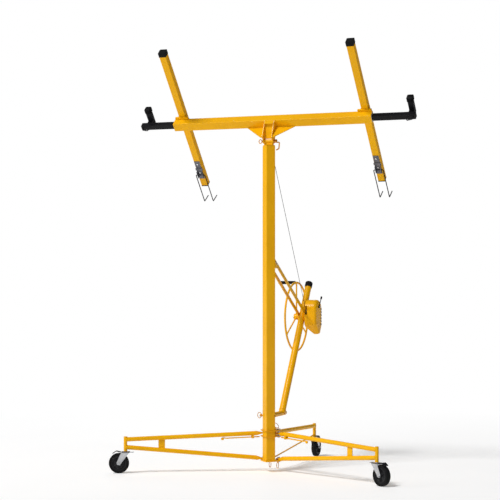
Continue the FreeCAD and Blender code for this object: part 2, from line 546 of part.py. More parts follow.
def lift_cable():
    """Wire rope: in through the mast slot, over the mast pulley and straight down to the drum."""
    groove = PULLEY_R - 0.6 + CABLE_R
    drum_x = DRUM_X0 + 8
    p, d = V(0, PULLEY_Y, PULLEY_Z), V(0, WINCH_Y, WINCH_Z)
    span, reach = d - p, groove + WINDING_R + CABLE_R
    along_span = math.atan2(span.z, span.y)
    lean = math.acos(reach / math.hypot(span.y, span.z))
    off = along_span + lean
    leave = p + V(0, math.cos(off), math.sin(off)) * groove
    land = d - V(0, math.cos(off), math.sin(off)) * (WINDING_R + CABLE_R) + V(drum_x, 0, 0)
    crown_mid = (off + math.pi) / 2
    entry = p + V(0, -groove, 0)
    over = p + V(0, math.cos(crown_mid), math.sin(crown_mid)) * groove
    inside = entry + V(0, 0, -46)
    path = Part.Wire([Part.LineSegment(inside, entry).toShape(), Part.Arc(entry, over, leave).toShape()])
    section = Part.Wire(Part.makeCircle(CABLE_R, inside, V(0, 0, 1)))
    head = path.makePipeShell([section], True, False)
    run = rod(leave, land, CABLE_R)
    node("lift_cable", head.fuse(run))
    print("cable leaves pulley", leave, "lands on drum", land, "run", (land - leave).Length)


# ---------------------------------------------------------------- cradle, flat about its pivot

def in_cradle(shape):
    """From the flat cradle, pivot at the origin, to its place at rest on the mast head."""
    return moved(turned(shape, -TILT_DEG, V(1, 0, 0)), V(0, 0, PIVOT_Z))


def cradle_node(name, *solids):
    node(name, *[in_cradle(s) for s in solids])


def mast_head():
    plug = turned_square(32.8, 1980, MAST_TOP_Z + 1)
    cap = turned_square(56, MAST_TOP_Z + 1, MAST_TOP_Z + 6)
    lug_x, lug_t = 22.0, 5.0
    barrel = rod(V(-lug_x, 0, PIVOT_Z), V(lug_x, 0, PIVOT_Z), 12.5)
    web = block(-lug_x, lug_x, -8, 8, MAST_TOP_Z + 6, PIVOT_Z)
    lugs = []
    for x in (-lug_x - lug_t, lug_x):
        lug = block(x, x + lug_t, -13, 13, MAST_TOP_Z + 6, PIVOT_Z)
        lugs.append(lug.fuse(rod(V(x, 0, PIVOT_Z), V(x + lug_t, 0, PIVOT_Z), 13)))
    head = plug.multiFuse([cap, barrel, web] + lugs).removeSplitter()
    node("mast_head", head.cut(rod(V(-60, 0, PIVOT_Z), V(60, 0, PIVOT_Z), PIVOT_R)))
    bolt = rod(V(-46, 0, PIVOT_Z), V(54, 0, PIVOT_Z), PIVOT_R)
    eye = ring(12, 2.6, V(-56, 0, PIVOT_Z), V(0.4, 1, 0))
    collars = [rod(V(x, 0, PIVOT_Z), V(x + 5, 0, PIVOT_Z), 11) for x in (-39, 34)]
    node("tilt_bolt", bolt.multiFuse(collars + [eye]))
    points = [V(47, 0, PIVOT_Z - 7), V(70, 0, PIVOT_Z - 9), V(62, 12, PIVOT_Z - 46), V(44, 16, PIVOT_Z - 54)]
    grip = wire_form(points, 4.0, 7)
    sleeve = rod(V(42, 0, PIVOT_Z), V(52, 0, PIVOT_Z), 11)
    bore = rod(V(30, 0, PIVOT_Z), V(60, 0, PIVOT_Z), PIVOT_R + RUN)
    node("tilt_lock_handle", sleeve.fuse(grip).cut(bore))


def yoke():
    """Two ears on the pivot, a sloping web between them and a wing on each side of the beam."""
    front, back, low = BEAM_Y - BEAM_SIDE / 2, BEAM_Y + BEAM_SIDE / 2, BEAM_LOW
    pieces = []
    for x in (-EAR_X - EAR_T, EAR_X):
        ear = plate([V(x, front, low), V(x, back, low), V(x, 14, 8), V(x, 10, -13), V(x, -44, -13)],
                    V(EAR_T, 0, 0))
        pieces.append(ear.fuse(rod(V(x, 0, 0), V(x + EAR_T, 0, 0), 16)))
    for s in (-1, 1):
        inner_x = s * (EAR_X + EAR_T)
        pieces.append(plate([V(inner_x, back - 5, low), V(s * 157, back - 5, low), V(s * 42, back - 5, -12),
                             V(inner_x, back - 5, -12)], V(0, 5, 0)))
    pieces.append(plate([V(-20, front + 4, low), V(-20, front + 10, low), V(-20, -8, 14), V(-20, -14, 9)],
                        V(40, 0, 0)))
    for x in (-EAR_X, EAR_X - 8):
        pieces.append(plate([V(x, front + 4, low), V(x, front + 34, low), V(x, -14, 30), V(x, -20, 16)],
                            V(8, 0, 0)))
    pieces.append(block(-EAR_X, EAR_X, front + 4, front + 9, low - 26, low))
    bore = rod(V(-60, 0, 0), V(60, 0, 0), PIVOT_R + RUN)
    cradle_node("cradle_yoke", pieces[0].multiFuse(pieces[1:]).removeSplitter().cut(bore))


def beam():
    tube = square_tube(BEAM_SIDE, 3.0, -BEAM_HALF, BEAM_HALF, BEAM_Y, BEAM_Z)
    tube = rounded(tube, 3, lambda e: along(V(1, 0, 0))(e)
                   and abs(abs(e.BoundBox.Center.y - BEAM_Y) - BEAM_SIDE / 2) < 0.1)
    cradle_node("cradle_beam", tube)
    bushes, saddles, hollow = [], [], OUTRIGGER_SIDE / 2 + GAP
    for s in (-1, 1):
        x0, x1 = sorted((s * (BEAM_HALF - 36), s * (BEAM_HALF - 0.5)))
        bush = block(x0, x1, BEAM_Y - 24.9, BEAM_Y + 24.9, BEAM_Z - 24.9, BEAM_Z + 24.9)
        bushes.append(bush.cut(block(x0 - 1, x1 + 1, BEAM_Y - hollow, BEAM_Y + hollow,
                                     BEAM_Z - hollow, BEAM_Z + hollow)))
        base = block(s * ARM_X - 44, s * ARM_X + 44, BEAM_Y - 32, BEAM_Y + 32, BEAM_TOP,
                     BEAM_TOP + SADDLE_PLATE)
        ears = [block(s * ARM_X + e - 2, s * ARM_X + e + 2, BEAM_Y - 42, BEAM_Y + 42,
                      BEAM_TOP, BEAM_TOP + 36) for e in (-ARM_SIDE / 2 - 2.2, ARM_SIDE / 2 + 2.2)]
        lips = block(s * ARM_X - 44, s * ARM_X + 44, BEAM_Y - 42, BEAM_Y - 28.4, BEAM_TOP - 8,
                     BEAM_TOP + SADDLE_PLATE)
        saddle = base.multiFuse(ears + [lips]).removeSplitter()
        saddles.append(saddle.cut(rod(V(s * ARM_X - 40, BEAM_Y, ARM_Z), V(s * ARM_X + 40, BEAM_Y, ARM_Z), 5)))
    cradle_node("beam_end_bushes", *bushes)
    cradle_node("saddle_brackets", *saddles)


def arms():
    """Square arms, necked at the upper end for a moulded cap and plugged at the lower end."""
    h, c, neck = ARM_SIDE / 2, ARM_SIDE / 2 - 2.5, ARM_SIDE / 2 - 1.2
    neck_length, cap_side = 22.0, ARM_SIDE / 2 + 2.0
    tubes, caps, plugs, bolts = [], [], [], []
    for s in (-1, 1):
        x, y0, y1 = s * ARM_X, BEAM_Y - ARM_HALF, BEAM_Y + ARM_HALF
        tube = block(x - h, x + h, y0 + neck_length, y1, ARM_Z - h, ARM_Z + h)
        tube = rounded(tube, 2.5, along(V(0, 1, 0)))
        tube = tube.fuse(block(x - neck, x + neck, y0, y0 + neck_length, ARM_Z - neck, ARM_Z + neck))
        tube = tube.cut(block(x - c, x + c, y0 - 1, y1 + 1, ARM_Z - c, ARM_Z + c))
        tubes.append(tube.cut(rod(V(x - 40, BEAM_Y, ARM_Z), V(x + 40, BEAM_Y, ARM_Z), 5)))
        cap = block(x - cap_side, x + cap_side, y0 - 6, y0 + neck_length, ARM_Z - cap_side, ARM_Z + cap_side)
        cap = rounded(cap, 4, along(V(0, 1, 0)))
        caps.append(cap.cut(block(x - neck, x + neck, y0, y0 + neck_length, ARM_Z - neck, ARM_Z + neck)))
        plugs.append(block(x - h, x + h, y1, y1 + 7, ARM_Z - h, ARM_Z + h)
                     .fuse(block(x - c, x + c, y1 - 14, y1, ARM_Z - c, ARM_Z + c)))
        outside = h + 4.2
        shank = rod(V(x - outside, BEAM_Y, ARM_Z), V(x + outside, BEAM_Y, ARM_Z), 5)
        heads = [hex_head(V(x + e * outside, BEAM_Y, ARM_Z), V(e, 0, 0), 9.0, 6) for e in (-1, 1)]
        bolts.append(shank.multiFuse(heads))
    cradle_node("cross_arms", *tubes)
    cradle_node("arm_end_caps", *(caps + plugs))
    return bolts


def hooks():
    low, end = ARM_Z - ARM_SIDE / 2, BEAM_Y + ARM_HALF
    pivot_y, pivot_z = end - HOOK_FROM_END, low - 11
    brackets, screws = [], []
    for name, s in (("left", -1), ("right", 1)):
        x = s * ARM_X
        base = block(x - 19, x + 19, pivot_y - 104, pivot_y + 36, low - 3, low)
        walls = [block(w - 1.5, w + 1.5, pivot_y - 28, pivot_y + 22, low - 19, low - 3)
                 for w in (x - 17.5, x + 17.5)]
        strap = block(x - 24, x + 24, pivot_y - 50, pivot_y - 32, low - 6, low - 3)
        plate_ = base.multiFuse(walls + [strap]).removeSplitter()
        brackets.append(plate_.cut(rod(V(x - 40, pivot_y, pivot_z), V(x + 40, pivot_y, pivot_z), 3.0 + RUN)))
        for y in (pivot_y - 82, pivot_y - 14):
            screws.append(rod(V(x, y, low - 9), V(x, y, low - 3), 6))
        tip, reach = end + HOOK_BEYOND_END, 31
        points = [V(x - reach, tip + 10, pivot_z + 74), V(x - reach, tip, pivot_z),
                  V(x - reach, pivot_y, pivot_z), V(x + reach, pivot_y, pivot_z),
                  V(x + reach, tip, pivot_z), V(x + reach, tip + 10, pivot_z + 74)]
        cradle_node(name + "_panel_hook", wire_form(points, 3.0, 7))
    cradle_node("hook_brackets", *brackets)
    return screws


def outriggers():
    h = OUTRIGGER_SIDE / 2
    for name, s in (("left", -1), ("right", 1)):
        post, tip = OUTRIGGER_POST_X[name], OUTRIGGER_TIP_X[name]
        x0, x1 = sorted((s * (post - 420), s * tip))
        bar = block(x0, x1, BEAM_Y - h, BEAM_Y + h, BEAM_Z - h, BEAM_Z + h)
        px0, px1 = s * post - h, s * post + h
        riser = block(px0, px1, BEAM_Y - h, BEAM_Y + h, BEAM_Z + h, ARM_Z + 14)
        pad_bar = block(px0, px1, BEAM_Y - 74, BEAM_Y + h, ARM_Z - 18, ARM_Z + 14)
        pad = block(px0 - 4, px1 + 4, BEAM_Y - 104, BEAM_Y - 74, ARM_Z - 22, ARM_Z + 20)
        pad = rounded(pad, 3, along(V(0, 1, 0)))
        cradle_node(name + "_outrigger_pad", pad)
        below = BEAM_Z - h
        cx = s * (tip - 14)
        points = [V(cx, BEAM_Y, below), V(cx, BEAM_Y, below - 22), V(cx - s * 34, BEAM_Y + 4, below - 26),
                  V(cx - s * 40, BEAM_Y + 4, below - 12)]
        frame = bar.multiFuse([riser, pad_bar, wire_form(points, 3.0, 6)]).removeSplitter()
        cradle_node(name + "_outrigger", frame)


def build():
    mast()
    mast_pulley()
    hub()
    side_leg("left")
    side_leg("right")
    rear_leg()
    ring_pins()
    casters()
    winch_frame()
    node("frame_bolts", *(base_bolts() + winch_struts()))
    hand_wheel()
    drum()
    winch_cover()
    lift_cable()
    mast_head()
    yoke()
    beam()
    cradle_node("cradle_bolts", *(arms() + hooks()))
    outriggers()


def export():
    os.makedirs("parts", exist_ok=True)
    whole = FreeCAD.BoundBox()
    for name, shape in NODES.items():
        placed = moved(shape, V(MAST_X, MAST_Y, 0))
        whole.add(placed.BoundBox)
        placed.exportStep("parts/" + name + ".step")
        if not shape.isValid() or shape.Volume <= 0:
            print("not valid:", name)
    print("nodes", len(NODES), "box", whole)


build()
export()
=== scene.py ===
"""Drywall lift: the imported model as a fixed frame, with painted, plated, rubber and rope finishes."""
import json
import math

import bpy
import bmesh
from mathutils import Matrix, Vector


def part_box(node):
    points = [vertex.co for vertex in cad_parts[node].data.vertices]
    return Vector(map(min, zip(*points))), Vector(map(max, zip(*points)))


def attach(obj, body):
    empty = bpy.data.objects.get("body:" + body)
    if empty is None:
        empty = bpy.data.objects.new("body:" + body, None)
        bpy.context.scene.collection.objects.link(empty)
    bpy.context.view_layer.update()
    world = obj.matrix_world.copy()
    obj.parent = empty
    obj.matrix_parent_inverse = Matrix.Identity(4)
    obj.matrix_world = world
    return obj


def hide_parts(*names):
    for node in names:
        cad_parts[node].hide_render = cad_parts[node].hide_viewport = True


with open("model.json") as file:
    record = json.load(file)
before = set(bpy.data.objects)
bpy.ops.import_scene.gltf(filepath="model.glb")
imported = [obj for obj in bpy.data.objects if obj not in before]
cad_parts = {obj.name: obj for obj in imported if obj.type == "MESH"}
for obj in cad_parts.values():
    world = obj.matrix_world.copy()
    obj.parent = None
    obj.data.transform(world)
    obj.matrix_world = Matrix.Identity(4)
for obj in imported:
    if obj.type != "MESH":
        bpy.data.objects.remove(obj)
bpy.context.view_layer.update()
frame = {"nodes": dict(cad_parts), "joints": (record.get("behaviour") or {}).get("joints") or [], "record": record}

NODES = frame["nodes"]
mast_low, mast_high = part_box("mast_outer_tube")
MAST = Vector(((mast_low.x + mast_high.x) / 2, (mast_low.y + mast_high.y) / 2, 0))

# camera, as the photograph's viewpoint: azimuth from straight ahead, level, long lens
VIEW_AZIMUTH = math.radians(21)
LENS_MM, SENSOR_MM = 108.0, 36.0
CAMERA_DISTANCE, CAMERA_HEIGHT = 9.3, 1.159
CAMERA_SIDE, SHIFT_UP = -0.117, 0.07

# light: a broad key from the upper left, a white surround that lights less from the right, and two soft
# boxes; the floor glows faintly and turns to plain white between two distances from the middle
KEY_FROM, KEY_STRENGTH, KEY_SPREAD = (-0.28, -0.55, 0.80), 2.35, math.radians(16)
FILL_LEFT, FILL_RIGHT = 0.24, 0.08
SOFT_BOX_POWER = 30
FLOOR_HALF, FLOOR_GLOW, FLOOR_FADE = 60.0, 0.24, (2.0, 4.5)

# the colour sockets of a Mix node: its two inputs and its output
MIX_UNDER, MIX_OVER, MIX_RESULT = 6, 7, 2


# ---------------------------------------------------------------- materials

class Nodes:
    """A small helper that adds and links shader nodes of one material."""

    def __init__(self, name):
        self.material = bpy.data.materials.new(name)
        self.material.use_nodes = True
        self.tree = self.material.node_tree
        self.shader = self.tree.nodes["Principled BSDF"]

    def add(self, kind, **settings):
        """A new node; each setting is the value of an input or of a property."""
        made = self.tree.nodes.new(kind)
        for key, value in settings.items():
            if key in made.inputs:
                made.inputs[key].default_value = value
            else:
                setattr(made, key, value)
        return made

    def link(self, source, target):
        self.tree.links.new(source, target)

    def place(self, scale=(1, 1, 1)):
        """Object coordinates, scaled along each axis."""
        coords = self.add("ShaderNodeTexCoord")
        mapping = self.add("ShaderNodeMapping")
        mapping.inputs["Scale"].default_value = scale
        self.link(coords.outputs["Object"], mapping.inputs["Vector"])
        return mapping.outputs["Vector"]

    def noise(self, scale, detail=4.0, roughness=0.55, stretch=(1, 1, 1)):
        """The grey value of a noise texture."""
        texture = self.add("ShaderNodeTexNoise", Scale=scale, Detail=detail, Roughness=roughness)
        self.link(self.place(stretch), texture.inputs["Vector"])
        return texture.outputs["Fac"]

    def ramp(self, value, stops):
        """A colour ramp between two stops, each a position and a colour."""
        node = self.add("ShaderNodeValToRGB")
        for element, (position, colour) in zip(node.color_ramp.elements, stops):
            element.position = position
            element.color = (*colour, 1)
        self.link(value, node.inputs["Fac"])
        return node.outputs["Color"]

    def grey(self, value, low, high, out_low=0.0, out_high=1.0):
        """A value taken from one range to another, and held at its ends."""
        node = self.add("ShaderNodeMapRange")
        ends = {"From Min": low, "From Max": high, "To Min": out_low, "To Max": out_high}
        for socket, amount in ends.items():
            node.inputs[socket].default_value = amount
        self.link(value, node.inputs["Value"])
        return node.outputs["Result"]

    def mix(self, factor, under, colour):
        """What lies under, turning to one fixed colour where the factor is high."""
        node = self.add("ShaderNodeMix", data_type="RGBA")
        self.link(factor, node.inputs["Factor"])
        self.link(under, node.inputs[MIX_UNDER])
        node.inputs[MIX_OVER].default_value = (*colour, 1)
        return node.outputs[MIX_RESULT]

    def times(self, first, second):
        """The product of two grey values."""
        node = self.add("ShaderNodeMath", operation="MULTIPLY")
        self.link(first, node.inputs[0])
        self.link(second, node.inputs[1])
        return node.outputs[0]

    def rounded_normal(self, radius):
        """The surface's normal with its sharp edges rounded off."""
        bevel = self.add("ShaderNodeBevel", samples=4)
        bevel.inputs["Radius"].default_value = radius
        return bevel.outputs["Normal"]

    def edges(self, radius):
        """A mask that is bright along sharp edges, from the rounded and the true normal."""
        geometry = self.add("ShaderNodeNewGeometry")
        dot = self.add("ShaderNodeVectorMath", operation="DOT_PRODUCT")
        self.link(self.rounded_normal(radius), dot.inputs[0])
        self.link(geometry.outputs["Normal"], dot.inputs[1])
        return self.grey(dot.outputs["Value"], 0.995, 0.90)

    def bump(self, height, strength, distance, round_edges):
        """Fine relief on top of softly rounded edges."""
        node = self.add("ShaderNodeBump", Strength=strength, Distance=distance)
        self.link(height, node.inputs["Height"])
        self.link(self.rounded_normal(round_edges), node.inputs["Normal"])
        self.link(node.outputs["Normal"], self.shader.inputs["Normal"])

    def set(self, **values):
        """Fixed values of the shader's inputs, whose names have underscores here for spaces."""
        for key, value in values.items():
            self.shader.inputs[key.replace("_", " ")].default_value = value


def yellow_paint():
    """Satin powder coat: slow colour drift, faint scuffs, chipped edges and a fine orange peel."""
    m = Nodes("yellow_powder_coat")
    drift = m.noise(3.0, 3.0)
    colour = m.ramp(drift, [(0.3, (0.83, 0.40, 0.001)), (0.7, (0.91, 0.47, 0.002))])
    scuffs = m.grey(m.noise(55.0, 8.0, 0.7, (1, 1, 0.35)), 0.62, 0.74, 0.0, 0.35)
    colour = m.mix(scuffs, colour, (0.60, 0.26, 0.006))
    chips = m.times(m.edges(0.0014), m.grey(m.noise(260.0, 5.0), 0.52, 0.60))
    colour = m.mix(chips, colour, (0.20, 0.11, 0.05))
    m.link(colour, m.shader.inputs["Base Color"])
    m.link(m.grey(m.noise(38.0, 6.0), 0.3, 0.75, 0.27, 0.46), m.shader.inputs["Roughness"])
    m.set(Specular_IOR_Level=0.14, Coat_Weight=0.05, Coat_Roughness=0.10, IOR=1.5)
    m.bump(m.noise(520.0, 2.0), 0.10, 0.0006, 0.0012)
    return m.material


def black_paint():
    """Satin black coat with worn grey edges and fine scratches."""
    m = Nodes("black_powder_coat")
    base = m.ramp(m.noise(9.0), [(0.3, (0.002, 0.002, 0.003)), (0.7, (0.006, 0.006, 0.008))])
    wear = m.times(m.edges(0.0014), m.grey(m.noise(180.0, 5.0), 0.46, 0.60))
    base = m.mix(wear, base, (0.06, 0.06, 0.065))
    scratch = m.grey(m.noise(40.0, 9.0, 0.8, (6, 1, 1)), 0.66, 0.74, 0.0, 0.5)
    base = m.mix(scratch, base, (0.018, 0.018, 0.02))
    m.link(base, m.shader.inputs["Base Color"])
    m.set(Specular_IOR_Level=0.16)
    m.link(m.grey(m.noise(70.0, 5.0), 0.3, 0.7, 0.30, 0.50), m.shader.inputs["Roughness"])
    m.bump(m.noise(600.0, 2.0), 0.12, 0.0005, 0.0012)
    return m.material


def rubber(name, dark, light, grain):
    """Moulded rubber: fine grain, dusty patches and a dull shine."""
    m = Nodes(name)
    base = m.ramp(m.noise(14.0, 6.0), [(0.35, dark), (0.72, light)])
    dust = m.grey(m.noise(34.0, 8.0, 0.7), 0.58, 0.78, 0.0, 0.4)
    base = m.mix(dust, base, (0.028, 0.026, 0.024))
    m.link(base, m.shader.inputs["Base Color"])
    m.set(Specular_IOR_Level=0.12)
    m.link(m.grey(m.noise(90.0, 4.0), 0.3, 0.7, 0.52, 0.76), m.shader.inputs["Roughness"])
    m.bump(m.noise(grain, 3.0), 0.22, 0.0006, 0.0009)
    return m.material


def plated(name, dark, light, rough_low, rough_high, stretch=(1, 1, 1)):
    """Plated or bare steel: cloudy passivation, drawn lines and dulled edges."""
    m = Nodes(name)
    cloud = m.ramp(m.noise(22.0, 6.0, 0.65), [(0.3, dark), (0.7, light)])
    stain = m.grey(m.noise(60.0, 8.0, 0.7), 0.6, 0.8, 0.0, 0.5)
    cloud = m.mix(stain, cloud, tuple(c * 0.6 for c in dark))
    m.link(cloud, m.shader.inputs["Base Color"])
    m.link(m.grey(m.noise(110.0, 6.0, 0.6, stretch), 0.3, 0.7, rough_low, rough_high),
           m.shader.inputs["Roughness"])
    m.set(Metallic=0.9)
    m.bump(m.noise(420.0, 3.0, 0.5, stretch), 0.14, 0.0004, 0.0006)
    return m.material


def plastic(name, dark, light, rough):
    """Moulded plastic: slow colour drift, fine texture and a soft shine."""
    m = Nodes(name)
    m.link(m.ramp(m.noise(18.0, 5.0), [(0.3, dark), (0.7, light)]), m.shader.inputs["Base Color"])
    m.set(Specular_IOR_Level=0.25)
    m.link(m.grey(m.noise(80.0, 4.0), 0.3, 0.7, rough - 0.08, rough + 0.1), m.shader.inputs["Roughness"])
    m.bump(m.noise(380.0, 2.0), 0.10, 0.0005, 0.0008)
    return m.material


MATERIALS = {
    "yellow_paint": yellow_paint(),
    "black_paint": black_paint(),
    "black_rubber": rubber("black_rubber", (0.002, 0.002, 0.003), (0.008, 0.008, 0.009), 420.0),
    "black_tyre": rubber("tyre_rubber", (0.003, 0.003, 0.003), (0.010, 0.010, 0.011), 300.0),
    "wheel_plastic": plastic("wheel_plastic", (0.006, 0.006, 0.007), (0.016, 0.016, 0.018), 0.42),
    "zinc_plate": plated("zinc_plate", (0.42, 0.43, 0.45), (0.70, 0.71, 0.73), 0.24, 0.44),
    "gold_plate": plated("gold_plate", (0.55, 0.24, 0.03), (0.80, 0.40, 0.07), 0.28, 0.46),
    "grey_steel": plated("pressed_steel", (0.10, 0.10, 0.115), (0.20, 0.20, 0.22), 0.30, 0.50, (1, 8, 1)),
    "wire_rope": plated("rope_steel", (0.02, 0.02, 0.022), (0.07, 0.07, 0.075), 0.40, 0.60),
    "nylon": plastic("nylon", (0.60, 0.57, 0.49), (0.72, 0.70, 0.63), 0.45),
    "hook_wire": rubber("dipped_wire", (0.002, 0.002, 0.003), (0.008, 0.008, 0.009), 500.0),
}


def paint_frame():
    """Every carried-over node takes its slot's finish."""
    slots = {s["node"]: s["material_slot"] for s in frame["record"]["subparts"]}
    for name, cad in NODES.items():
        cad.data.materials.clear()
        cad.data.materials.append(MATERIALS[slots[name]])


# ---------------------------------------------------------------- stage, light and camera

def make_floor():
    """A pale floor that catches soft shadows near the lift and brightens into the white background."""
    mesh = bpy.data.meshes.new("floor")
    corners = [(x * FLOOR_HALF, y * FLOOR_HALF, 0) for x, y in ((-1, -1), (1, -1), (1, 1), (-1, 1))]
    mesh.from_pydata(corners, [], [(0, 1, 2, 3)])
    floor = bpy.data.objects.new("floor", mesh)
    bpy.context.scene.collection.objects.link(floor)
    m = Nodes("pale_floor")
    m.link(m.ramp(m.noise(1.5), [(0.3, (0.86, 0.86, 0.86)), (0.7, (0.88, 0.88, 0.88))]),
           m.shader.inputs["Base Color"])
    m.set(Roughness=0.8, Emission_Color=(1, 1, 1, 1), Emission_Strength=FLOOR_GLOW)
    distance = m.add("ShaderNodeVectorMath", operation="LENGTH")
    m.link(m.place(), distance.inputs[0])
    far = m.grey(distance.outputs["Value"], *FLOOR_FADE)
    white = m.add("ShaderNodeEmission", Strength=1.0)
    mix = m.add("ShaderNodeMixShader")
    m.link(far, mix.inputs[0])
    m.link(m.shader.outputs[0], mix.inputs[1])
    m.link(white.outputs[0], mix.inputs[2])
    m.link(mix.outputs[0], m.tree.nodes["Material Output"].inputs["Surface"])
    m.material.cycles.emission_sampling = "NONE"
    mesh.materials.append(m.material)


def area_light(name, place, target, size):
    """A round soft box that faces a target."""
    data = bpy.data.lights.new(name, "AREA")
    data.shape, data.size, data.energy = "DISK", size, SOFT_BOX_POWER
    light = bpy.data.objects.new(name, data)
    light.location = place
    light.rotation_euler = (Vector(target) - Vector(place)).to_track_quat("-Z", "Y").to_euler()
    bpy.context.scene.collection.objects.link(light)


def make_world():
    """White behind the object; a dimmer fill for light, weaker from the right."""
    world = bpy.data.worlds.new("studio")
    bpy.context.scene.world = world
    world.use_nodes = True
    tree = world.node_tree
    tree.nodes.clear()
    fill = tree.nodes.new("ShaderNodeBackground")
    coords = tree.nodes.new("ShaderNodeTexCoord")
    split = tree.nodes.new("ShaderNodeSeparateXYZ")
    across = tree.nodes.new("ShaderNodeMapRange")
    for socket, value in (("From Min", -1), ("From Max", 1), ("To Min", FILL_LEFT), ("To Max", FILL_RIGHT)):
        across.inputs[socket].default_value = value
    tree.links.new(coords.outputs["Generated"], split.inputs[0])
    tree.links.new(split.outputs["X"], across.inputs["Value"])
    tree.links.new(across.outputs["Result"], fill.inputs["Strength"])
    seen = tree.nodes.new("ShaderNodeBackground")
    seen.inputs["Strength"].default_value = 1.0
    for node in (fill, seen):
        node.inputs["Color"].default_value = (1, 1, 1, 1)
    path = tree.nodes.new("ShaderNodeLightPath")
    mix = tree.nodes.new("ShaderNodeMixShader")
    out = tree.nodes.new("ShaderNodeOutputWorld")
    tree.links.new(path.outputs["Is Camera Ray"], mix.inputs["Fac"])
    tree.links.new(fill.outputs[0], mix.inputs[1])
    tree.links.new(seen.outputs[0], mix.inputs[2])
    tree.links.new(mix.outputs[0], out.inputs["Surface"])


def make_lights():
    """The broad key, a soft box on the left and one behind."""
    sun = bpy.data.lights.new("key", "SUN")
    sun.energy, sun.angle = KEY_STRENGTH, KEY_SPREAD
    key = bpy.data.objects.new("key", sun)
    key.rotation_euler = Vector(KEY_FROM).to_track_quat("Z", "Y").to_euler()
    bpy.context.scene.collection.objects.link(key)
    area_light("left_soft_box", (-4.0, -2.6, 2.6), (0, 0, 1.3), 2.6)
    area_light("back_soft_box", (-2.4, 4.2, 3.4), (0, 0, 1.4), 2.2)


def make_camera():
    """The photograph's viewpoint: level, with the frame shifted up instead of the camera tilted."""
    right = Vector((math.cos(VIEW_AZIMUTH), math.sin(VIEW_AZIMUTH), 0))
    back = Vector((math.sin(VIEW_AZIMUTH), -math.cos(VIEW_AZIMUTH), 0))
    data = bpy.data.cameras.new("camera")
    data.lens, data.sensor_width, data.shift_y = LENS_MM, SENSOR_MM, SHIFT_UP
    camera = bpy.data.objects.new("camera", data)
    camera.location = MAST + back * CAMERA_DISTANCE + right * CAMERA_SIDE + Vector((0, 0, CAMERA_HEIGHT))
    camera.rotation_euler = (math.pi / 2, 0, VIEW_AZIMUTH)
    bpy.context.scene.collection.objects.link(camera)
    bpy.context.scene.camera = camera


# ---------------------------------------------------------------- places, in millimetres of the CAD

MM = 0.001
UP = Vector((0, 0, 1))
JOINTS = {j["name"]: j for j in frame["joints"]}

# the sloping handle tube's axis from its foot on the stub to its top
HANDLE_FOOT, HANDLE_TOP = (0, 237.4, 346), (0, 776.4, 1173)
HANDLE_SLOPE = (Vector(HANDLE_TOP) - Vector(HANDLE_FOOT)).normalized()

# the cradle, as it lies flat: the beam's middle, half width and under side, and the arms with their bolts
CRADLE_TILT = math.radians(-48)
CRADLE_TURN = Matrix.Rotation(CRADLE_TILT, 3, "X")
BEAM_Y, BEAM_HALF, BEAM_LOW_Z = -65.0, 28.0, 91.4
ARM_X, ARM_BOLT_Z = 605, 174


def joint_at(name):
    """The place of a joint, in the frame's metres."""
    return Vector(JOINTS[name]["pos_m"])


def at_mast(x, y, z):
    """A point given in millimetres from the mast axis, in the frame's metres."""
    return MAST + Vector((x, y, z)) * MM


PIVOT = joint_at("cradle_tilt")


def in_cradle(x, y, z):
    """A point given in millimetres about the tilt pivot with the cradle flat, in the frame's metres."""
    return PIVOT + CRADLE_TURN @ (Vector((x, y, z)) * MM)


def in_metres(outline):
    """An outline given in millimetres, in metres."""
    return [(along * MM, radius * MM) for along, radius in outline]


# ---------------------------------------------------------------- mesh helpers

WIDE_BEAD, BEAD_R, THIN_BEAD, FINE_BEAD, LEAST_BEAD = [r * MM for r in (3.0, 2.4, 2.0, 1.8, 1.6)]
BEAD_STEP, RING_BEAD_STEP, BEAD_SIDES = 1.6 * MM, 1.8 * MM, 6
BEAD_WAIST, BEAD_BEAT = 0.82, 0.9
WELD_SHARP, ROPE_SHARP = 80, 60


def lumpy(thickness):
    """A weld bead's radius at each step: full on the swells, and narrower in the waists between."""
    def radius(k):
        return thickness * (BEAD_WAIST + (1 - BEAD_WAIST) * abs(math.sin(k * BEAD_BEAT)))

    return radius


def piece(name, verts, faces, slot, body, replaced=(), sharp=35):
    """A visible mesh that rides a body and stands in for the CAD nodes it replaces."""
    mesh = bpy.data.meshes.new(name)
    mesh.from_pydata([tuple(v) for v in verts], [], faces)
    work = bmesh.new()
    work.from_mesh(mesh)
    bmesh.ops.recalc_face_normals(work, faces=work.faces)
    work.to_mesh(mesh)
    work.free()
    mesh.polygons.foreach_set("use_smooth", [True] * len(mesh.polygons))
    mesh.set_sharp_from_angle(angle=math.radians(sharp))
    mesh.materials.append(MATERIALS[slot])
    made = bpy.data.objects.new(name, mesh)
    bpy.context.scene.collection.objects.link(made)
    if replaced:
        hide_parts(*replaced)
    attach(made, body)
    return made


